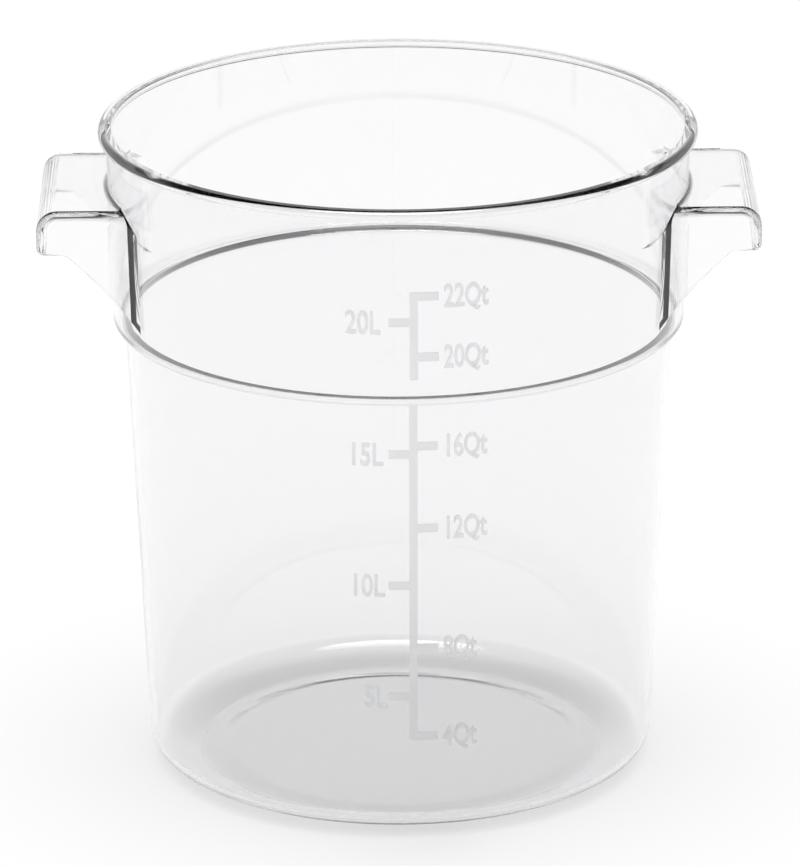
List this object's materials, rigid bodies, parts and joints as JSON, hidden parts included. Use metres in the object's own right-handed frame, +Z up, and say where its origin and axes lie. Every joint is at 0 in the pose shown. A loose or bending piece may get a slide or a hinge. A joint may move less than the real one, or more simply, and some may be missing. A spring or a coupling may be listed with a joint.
{
  "type": "round food storage container",
  "caption": "Clear round food container with an inward step, a flat rim for a lid, two hollow side grips and a raised measuring scale.",
  "frame": {"origin": "centre of the foot ring, on the surface that the pot stands on", "axes": "+Z up along the pot's axis, +X through the right-hand grip, -Y towards the front with the measuring scale"},
  "size_m": [0.3994, 0.3334, 0.3718],
  "materials": {
    "clear_polycarbonate": "clear, smooth and glossy",
    "frosted_scale": "fine frosted texture in the same clear plastic"
  },
  "bodies": {
    "root": {"container_shell": "clear_polycarbonate", "handle_left": "clear_polycarbonate", "handle_right": "clear_polycarbonate", "scale_lower": "frosted_scale", "scale_upper": "frosted_scale"}
  },
  "joints": []
}
